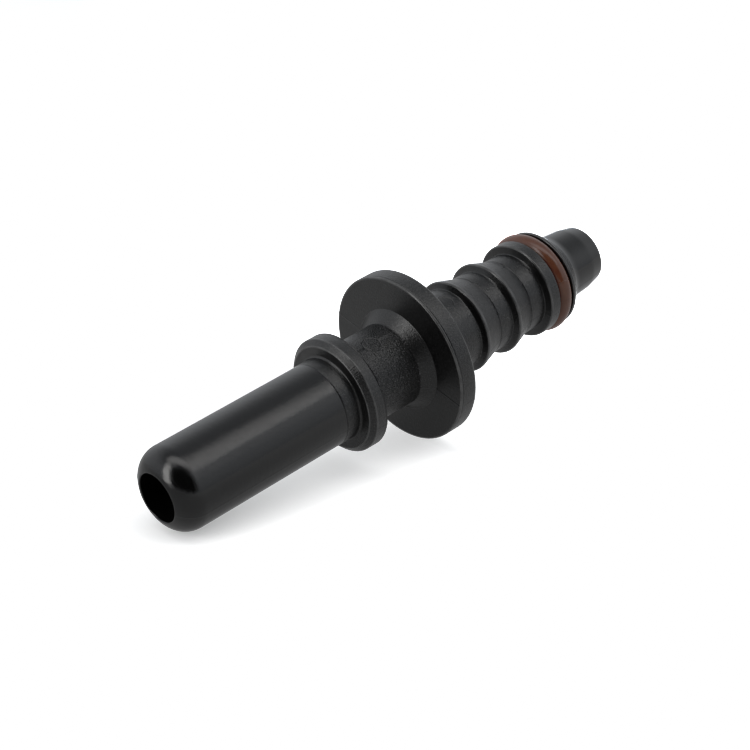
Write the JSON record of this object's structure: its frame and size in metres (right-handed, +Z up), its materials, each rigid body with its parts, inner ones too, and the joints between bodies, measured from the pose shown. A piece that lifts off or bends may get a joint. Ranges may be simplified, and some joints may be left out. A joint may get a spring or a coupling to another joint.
{
  "type": "quick disconnect coupling",
  "caption": "Straight male end of a plastic quick disconnect coupling: a smooth spigot with a latching bead, a round stop flange and a barbed hose stem with a seal ring",
  "frame": {"origin": "on the surface that the part lies on, under the middle of its length", "axes": "+X along the part from the spigot's tip to the hose nose, seen from above; +Z up; the turning axis rises towards +X by 9.005 degrees, because the part lies on the round of its tip and the front edge of its flange"},
  "size_m": [0.0526, 0.0162, 0.0161],
  "materials": {
    "body": "moulded glass-filled nylon, near-black, smooth spigot and finely grained stem",
    "seal": "moulded brown fluoroelastomer, satin"
  },
  "bodies": {
    "root": {"coupling_body": "body", "o_ring": "seal"}
  },
  "joints": []
}
